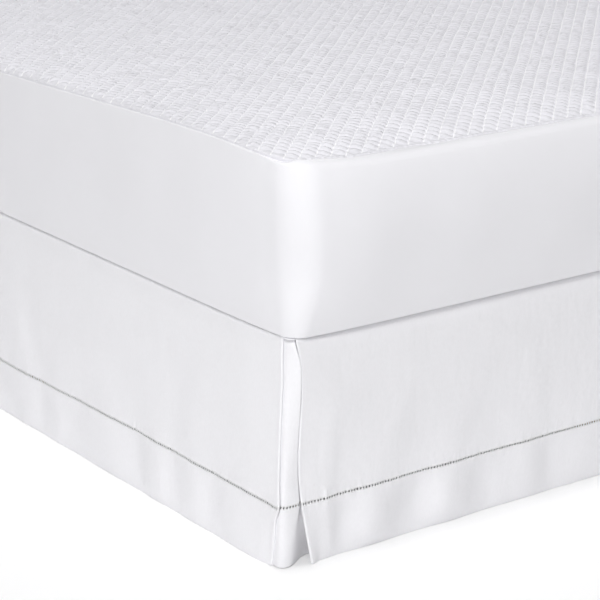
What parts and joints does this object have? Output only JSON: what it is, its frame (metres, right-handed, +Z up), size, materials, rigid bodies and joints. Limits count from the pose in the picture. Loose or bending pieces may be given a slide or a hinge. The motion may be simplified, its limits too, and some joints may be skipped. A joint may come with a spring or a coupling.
{
  "type": "bed skirt on a mattress and bed base",
  "caption": "Tailored white bed skirt with a deep hemstitched hem and a pleat at each foot corner, fitted under the mattress of a plain bed with its head end open.",
  "frame": {"origin": "on the floor, under the middle of the bed", "axes": "+Z up, +Y towards the head end of the bed, +X across the bed"},
  "size_m": [1.5709, 2.032, 0.6711],
  "materials": {
    "skirt_cotton": "smooth matte white cotton",
    "mattress_cover": "smooth white knit sides with a ribbed top",
    "base_cloth": "plain woven cover",
    "leg_wood": "satin"
  },
  "bodies": {
    "root": {"mattress": "mattress_cover", "bed_base": "base_cloth", "deck": "skirt_cotton", "drop_left": "skirt_cotton", "drop_right": "skirt_cotton", "drop_foot": "skirt_cotton", "underlay_left": "skirt_cotton", "underlay_right": "skirt_cotton", "leg_foot_left": "leg_wood", "leg_foot_centre": "leg_wood", "leg_foot_right": "leg_wood", "leg_middle_left": "leg_wood", "leg_middle_centre": "leg_wood", "leg_middle_right": "leg_wood", "leg_head_left": "leg_wood", "leg_head_centre": "leg_wood", "leg_head_right": "leg_wood"}
  },
  "joints": []
}
